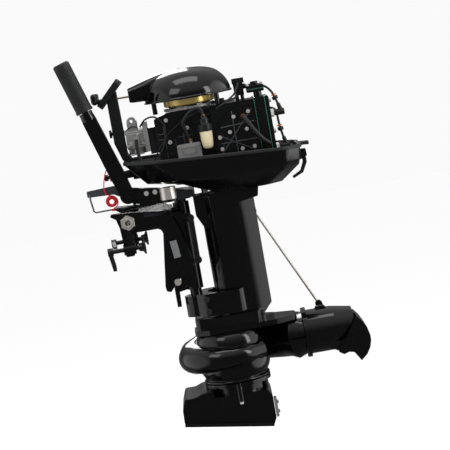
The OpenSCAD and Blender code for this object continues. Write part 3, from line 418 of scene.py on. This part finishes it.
def turned(shape, profile, centre, steps=96):
    """Spins a profile of (radius, height) pairs in millimetres round a vertical axis at centre."""
    cx, cy = centre
    line = [shape.verts.new(((cx + r) / 1000, cy / 1000, z / 1000)) for r, z in profile]
    edges = [shape.edges.new(pair) for pair in zip(line, line[1:])]
    bmesh.ops.spin(shape, geom=line + edges, cent=(cx / 1000, cy / 1000, 0), axis=(0, 0, 1),
                   angle=math.tau, steps=steps, use_merge=True)


def rounded(points, passes=2):
    """Cuts the corners of an open run of points, so that a few points give a smooth line."""
    for _ in range(passes):
        cut = [points[0]]
        for a, b in zip(points, points[1:]):
            cut += [tuple(0.75 * p + 0.25 * q for p, q in zip(a, b)),
                    tuple(0.25 * p + 0.75 * q for p, q in zip(a, b))]
        points = cut + [points[-1]]
    return points


def ring(shape, centre, radii, axes, count=32, power=2.0):
    """A closed loop of points: an oval of two radii, squarer as power grows past 2. Millimetres."""
    made = bmesh.ops.create_circle(shape, segments=count, radius=1.0)["verts"]
    for vert in made:
        c, s = vert.co.x, vert.co.y
        n = (abs(c) ** power + abs(s) ** power) ** (-1.0 / power)
        vert.co = (Vector(centre) + Vector(axes[0]) * radii[0] * c * n
                   + Vector(axes[1]) * radii[1] * s * n) / 1000
    return made


def skin(shape, rings, caps=(True, True)):
    """Bridges a run of loops into a tube and closes its ends where asked."""
    for a, b in zip(rings, rings[1:]):
        edges = [e for e in shape.edges if (e.verts[0] in a and e.verts[1] in a)
                 or (e.verts[0] in b and e.verts[1] in b)]
        bmesh.ops.bridge_loops(shape, edges=edges)
    for loop, close in zip((rings[0], rings[-1]), caps):
        if close:
            bmesh.ops.contextual_create(shape, geom=list(loop))


dome = bmesh.new()
turned(dome, rounded([(0, 402), (30, 401.5), (58, 397), (84, 387), (103, 367), (113, 348), (116, 336),
                      (116, 329), (119, 328), (119, 323.5), (115, 323.5), (112, 328), (111, 344),
                      (100, 364), (82, 383), (56, 393), (0, 397)], 2), (SHAFT_X, 0), 120)
turned(dome, rounded([(0, 403.8), (5, 403.6), (7, 402), (7, 399), (0, 399)], 1), (SHAFT_X - 14, 0), 32)
for i in range(18):
    turn = Matrix.Rotation(math.tau * i / 18, 4, "Z")
    spot = turn @ Vector((117, 0, 0))
    block(dome, (SHAFT_X + spot.x - 1.6, spot.y - 7, 323.2), (SHAFT_X + spot.x + 1.6, spot.y + 7, 327), turn)
for angle in (-40, 40, 180):
    turn = Matrix.Rotation(math.radians(angle), 4, "Z")
    foot = turn @ Vector((98 if angle != 180 else 94, 0, 0))
    round_bar(dome, (SHAFT_X + foot.x, foot.y, 292), (SHAFT_X + foot.x, foot.y, 330), 6.5, 24)
    pad = turn @ Vector((106 if angle != 180 else 102, 0, 0))
    block(dome, (SHAFT_X + pad.x - 10, pad.y - 8, 323), (SHAFT_X + pad.x + 10, pad.y + 8, 328), turn)
snout = []
for x, z0, z1, half in ((6, 336, 375, 23), (14, 334, 377.5, 24.5), (38, 333, 384, 27), (62, 333, 390.5, 30),
                        (86, 340, 396, 31), (112, 352, 399.6, 28), (136, 370, 401, 20)):
    snout.append(ring(dome, (x, 0, (z0 + z1) / 2), (half, (z1 - z0) / 2),
                      (Vector((0, 1, 0)), Vector((0, 0, 1))), 32, 4.0))
skin(dome, snout)
new_piece("starter_cover", dome, gloss_black, "engine", "recoil_cover", edge_mm=0.8)

# ---- Starter handle and rope ----
# A moulded T-handle on a waxed braided rope that winds on the reel under the dome.
dress(nylon, "starter_handle", edge_mm=1.4)
# Waxed braid: dull tan with a coarse weave.
braid = surface("waxed_braided_rope", "#8b7c5f", 0.7, mottling=0.2, grain_mm=1.0, bump=0.8)
rope_low, rope_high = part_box("starter_rope")
rope_z = (rope_low[2] + rope_high[2]) * 500
rope_radius = (rope_high[2] - rope_low[2]) * 500
rope = bmesh.new()
stations = [rope_low[0] * 1000 + (rope_high[0] - rope_low[0]) * 1000 * i / 40 for i in range(41)]
skin(rope, [ring(rope, (x, 0, rope_z), (rope_radius, rope_radius), (Vector((0, 1, 0)), Vector((0, 0,
                                                                                               1))), 12)
            for x in stations])
pull_rope = new_piece("pull_rope", rope, braid, None, "starter_rope", edge_mm=0)
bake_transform(pull_rope)

# ---- Carburetor ----
# A die-cast body with a float bowl, bare aluminium, on a flange at the crankcase.
dress(bare_casting, "carburetor", "fuel_pump", edge_mm=0.8)
detail = bmesh.new()
for y in (-22, 22):
    for z in (206, 272):
        round_bar(detail, (-21.5, y * 0.9, z * 0.5 + 119), (-17, y * 0.9, z * 0.5 + 119), 3.2, 6)
for x, z, r in ((-8, 228, 6), (12, 250, 5), (24, 224, 4.5), (2, 206, 5)):
    round_bar(detail, (x, -34.5, z), (x, -29, z), r, 24)
    round_bar(detail, (x, -36, z), (x, -34, z), r * 0.55, 6)
for z in (218, 224, 252, 258):
    block(detail, (-16, -31.6, z - 0.9), (32, -29, z + 0.9))
block(detail, (-14, -33, 196), (22, -26, 200))
new_piece("carburetor_fittings", detail, plated, "engine", edge_mm=0.4)

# ---- Fuel filter, fuel and cooling hoses ----
# A nylon bowl on a black head, fed by rubber hoses held on with wire clips.
# Semi-translucent nylon as moulded: warm cream.
bowl_nylon = surface("cream_nylon_bowl", "#cfc3a0", 0.34, mottling=0.08, grain_mm=1.0, bump=0.1)
bowl = bmesh.new()
turned(bowl, rounded([(0, 184), (8, 184.5), (13, 189), (15, 198), (16, 212), (16.5, 229), (16.5, 231),
                     (0, 231)], 2),
       (193, -104), 48)
new_piece("filter_bowl", bowl, bowl_nylon, "engine", "fuel_filter", edge_mm=0.6)
head = bmesh.new()
turned(head, rounded([(0, 231), (17.6, 231), (18, 233), (18, 249), (16, 250), (12, 251), (12, 264), (8, 266),
                      (8, 273), (0, 273)], 1), (193, -104), 48)
for i in range(20):
    a = math.tau * i / 20
    round_bar(head, (193 + 17.6 * math.cos(a), -104 + 17.6 * math.sin(a), 233),
              (193 + 17.6 * math.cos(a), -104 + 17.6 * math.sin(a), 248), 1.0, 8)
block(head, (180, -90, 236), (206, -78.4, 254))
new_piece("filter_head", head, nylon, "engine", edge_mm=0.6)
hoses = [("hose_supply", [(193, -104, 271), (186, -108, 292), (160, -106, 288), (138, -100, 262),
                         (142, -92, 238), (150, -88, 213)], 4.6, "fuel_hoses"),
         ("hose_feed", [(132, -88, 155), (128, -90, 138), (98, -88, 130), (52, -74, 136), (14, -62, 170),
                       (6, -58, 212), (8, -56, 238)], 4.6, None),
         ("hose_cooling", [(295, -100, 251), (297, -116, 252), (304, -125, 240), (318, -129, 214),
                          (336, -125, 188), (351, -111, 172), (350, -94, 168), (348, -76, 168)], 5.5,
          "coolant_hose")]
for name, route, radius, hidden in hoses:
    flexible(name, eased(route), radius, rubber, "engine", *([hidden] if hidden else []))
# Spring hose clips, copper-coloured passivated steel.
clip_metal = surface("passivated_spring_clips", "#b98249", 0.32, metallic=1.0, mottling=0.15, grain_mm=0.6)
clips = bmesh.new()
for a, b, r in (((295.6, -105, 251.3), (296.4, -110, 251.7), 7), ((350.3, -92, 168), (349.8, -87, 168), 7),
                ((149.6, -88.2, 218), (149.9, -88, 214), 5.8), ((131.6, -88.4, 151), (132, -88, 154.6), 5.8),
                ((192.4, -104.2, 274), (193, -104, 270.5), 5.8)):
    round_bar(clips, a, b, r, 28)
new_piece("hose_clips", clips, clip_metal, "engine", edge_mm=0.4)

# ---- Wiring and control cables ----
# Loomed wires from the stator to the ignition unit and the two cables from the tiller, clipped to the
# block along their whole run.
wires = [("stator_loom", [(222, -46, 298), (236, -58, 300), (258, -62, 298), (282, -50, 300), (288,
                                                                                               -20, 304),
                         (290, 6, 310)], 3.4),
         ("ignition_loom", [(300, 10, 338), (296, -14, 330), (284, -44, 312), (262, -66, 298),
                           (240, -80, 288), (216, -84, 276), (200, -82, 268)], 2.6),
         ("throttle_cable", [(22, -34, 268), (40, -48, 286), (66, -62, 288), (88, -70, 262), (82, -72, 222),
                            (62, -72, 186), (34, -74, 160), (4, -74, 142)], 2.4),
         ("stop_wire", [(4, 14, 147), (24, -6, 156), (44, -40, 172), (62, -70, 200), (92, -72, 236),
                       (130, -72, 262), (170, -79, 280), (214, -82, 290)], 1.7),
         ("choke_link", [(-19, -14, 262), (-10, -26, 268), (4, -32, 272), (16, -34, 268)], 1.6)]
for name, route, radius in wires:
    flexible(name, eased(route), radius, rubber, "engine")

# ---- Pump casing ----
# A cast aluminium spiral painted gloss black; its tube grows round the impeller and runs aft to the
# nozzle flange. Round neck below for the impeller housing, flat pad above for the leg.
spiral = [(-30 - 20 * i, 88 + 26 * i / 12, -372 - 8 * i / 12, 20 + 36 * i / 12) for i in range(13)]
run = [Vector((SHAFT_X + d * math.cos(math.radians(a)), d * math.sin(math.radians(a)), z))
       for a, d, z, r in spiral]
size = [r for a, d, z, r in spiral]
run += [Vector(p) for p in ((222, 110, -374), (276, 76, -369), (328, 34, -366), (361, 12, -362))]
size += [57, 58, 58, 58]
casing = bmesh.new()
loops = []
for i, place in enumerate(run):
    ahead = (run[min(i + 1, len(run) - 1)] - run[max(i - 1, 0)]).normalized()
    if i == len(run) - 1:
        ahead = Vector((1, 0, 0))
    side = ahead.cross(Vector((0, 0, 1))).normalized()
    loops.append(ring(casing, place, (size[i], size[i]), (side, side.cross(ahead)), count=24))
skin(casing, loops)
bmesh.ops.subdivide_edges(casing, edges=[e for e in casing.edges if len(e.link_faces) == 2], cuts=1,
                          smooth=1.0, use_grid_fill=True)
turned(casing, rounded([(0, -314), (78, -314), (90, -318), (98, -345), (99, -390), (96, -418),
                        (86, -436), (84, -441), (90, -442), (90, -450), (0, -450)], 2),
       (SHAFT_X, 0), 72)
for vert in casing.verts:
    if vert.co.z > -0.314 and vert.co.x < 0.349:
        vert.co.z = -0.314
new_piece("pump_casing", casing, gloss_black, "engine", "volute_casing")

# ---- Intake housing ----
# A cast elbow under the impeller that flares to a long sloping mouth, with a bolted rim and a grille of
# steel bars. Its stern face carries a sacrificial anode.
dress(gloss_black, "intake_housing", edge_mm=4.0)
# Zinc anode: dull, pitted grey metal.
anode_zinc = surface("cast_zinc_anode", "#96989b", 0.55, metallic=0.8, mottling=0.3, grain_mm=1.4, bump=0.7)
dress(anode_zinc, "anode", edge_mm=1.5)
studs = bmesh.new()
for i in range(6):
    a = math.radians(30 + 60 * i)
    spot = (SHAFT_X + 84 * math.cos(a), 84 * math.sin(a))
    round_bar(studs, (*spot, -500.4), (*spot, -507), 5.4, 6)
    round_bar(studs, (*spot, -498), (*spot, -501), 6.6, 24)
new_piece("intake_studs", studs, plated, "engine", edge_mm=0.5)

# ---- Nozzle, reverse gate and rod ----
# The cast nozzle that the jet leaves by, the gate that swings over it for reverse, and the bright steel
# rod that moves the gate.
dress(gloss_black, "discharge_nozzle", edge_mm=2.0)
dress(gloss_black, "reverse_gate", edge_mm=1.6)
dress(stainless, "gate_rod", edge_mm=0.6)

# ---- Tiller and twist grip ----
# A folding aluminium arm painted gloss black, with a ribbed rubber twist grip for the throttle.
dress(gloss_black, "tiller_arm", edge_mm=2.5)
dress(rubber, "throttle_grip", edge_mm=0.8)

# ---- Shift lever ----
# A flat cast lever in dark grey paint, linked to the gate by a bent wire.
# Dark grey enamel: smooth, medium gloss.
grey_enamel = surface("dark_grey_enamel", "#33363a", 0.3, mottling=0.1, grain_mm=1.2, bump=0.1, coat=0.2)
dress(grey_enamel, "shift_lever", edge_mm=1.5)

# ---- Floor, backdrop and lights ----
# White paper under and behind the motor, black flags round it so that gloss paint stays dark, and three
# soft boxes that draw the long highlights.
HANGING_HEIGHT = 0.75
low_z = cad_box[0][2]
floor_mesh = bmesh.new()
bmesh.ops.create_grid(floor_mesh, x_segments=1, y_segments=1, size=14.0)
bmesh.ops.translate(floor_mesh, vec=(0, 0, low_z - HANGING_HEIGHT), verts=floor_mesh.verts)
floor_data = bpy.data.meshes.new("studio_floor")
floor_mesh.to_mesh(floor_data)
floor_mesh.free()
floor = bpy.data.objects.new("studio_floor", floor_data)
bpy.context.scene.collection.objects.link(floor)
floor_data.materials.append(surface("white_studio_paper", "#ffffff", 0.9, grain_mm=4.0, gloss=0.0))
floor.visible_glossy = False

world = bpy.data.worlds.new("studio_light")
world.use_nodes = True
sky = world.node_tree
rays = node(sky, "LightPath")
paper = node(sky, "Background", {"Color": linear("#fafafa"), "Strength": 1.0})
view = node(sky, "TexCoord")
sight = node(sky, "SeparateXYZ", None, {"Vector": view.outputs["Generated"]})
overhead = node(sky, "MapRange", {"interpolation_type": "SMOOTHSTEP", "From Min": 0.1, "From Max": 0.95,
                                  "To Min": 0.11, "To Max": 0.8}, {"Value": sight.outputs["Z"]})
strip_right = node(sky, "MapRange", {"interpolation_type": "SMOOTHSTEP", "From Min": 0.72, "From Max": 0.86,
                                     "To Min": 0.0, "To Max": 1.5}, {"Value": sight.outputs["X"]})
strip_left = node(sky, "MapRange", {"interpolation_type": "SMOOTHSTEP", "From Min": -0.6, "From Max": -0.86,
                                    "To Min": 0.0, "To Max": 0.9}, {"Value": sight.outputs["X"]})
strips = node(sky, "Math", {"operation": "MAXIMUM"}, {0: strip_right.outputs["Result"],
                                                      1: strip_left.outputs["Result"]})
panels = node(sky, "Math", {"operation": "MAXIMUM"}, {0: strips.outputs["Value"],
                                                      1: overhead.outputs["Result"]})
flags = node(sky, "Background", {"Color": linear("#ffffff")}, {"Strength": panels.outputs["Value"]})
mixed = node(sky, "MixShader", None, {0: rays.outputs["Is Glossy Ray"], 1: paper.outputs["Background"],
                                      2: flags.outputs["Background"]})
sky.links.new(mixed.outputs["Shader"], sky.nodes["World Output"].inputs["Surface"])
bpy.context.scene.world = world
bpy.context.scene.view_settings.view_transform = "Standard"


def softbox(name, place, aim, size, power):
    """A rectangular studio light facing a point."""
    data = bpy.data.lights.new(name, "AREA")
    data.shape = "RECTANGLE"
    data.size, data.size_y = size
    data.energy = power
    lamp = bpy.data.objects.new(name, data)
    bpy.context.scene.collection.objects.link(lamp)
    lamp.matrix_world = Matrix.Translation(place) @ (
        Vector(aim) - Vector(place)).to_track_quat("-Z", "Y").to_matrix().to_4x4()


softbox("key_softbox", (-2.2, -3.0, 3.0), (0.15, 0, 0), (2.0, 2.0), 34)
softbox("rim_softbox", (3.2, -2.0, 1.2), (0.15, 0, -0.1), (0.8, 2.6), 40)
softbox("top_softbox", (0.2, -0.6, 3.2), (0.15, 0, 0), (2.4, 1.0), 24)
softbox("back_softbox", (-0.4, 3.2, 1.6), (0.15, 0, 0), (1.2, 2.2), 40)
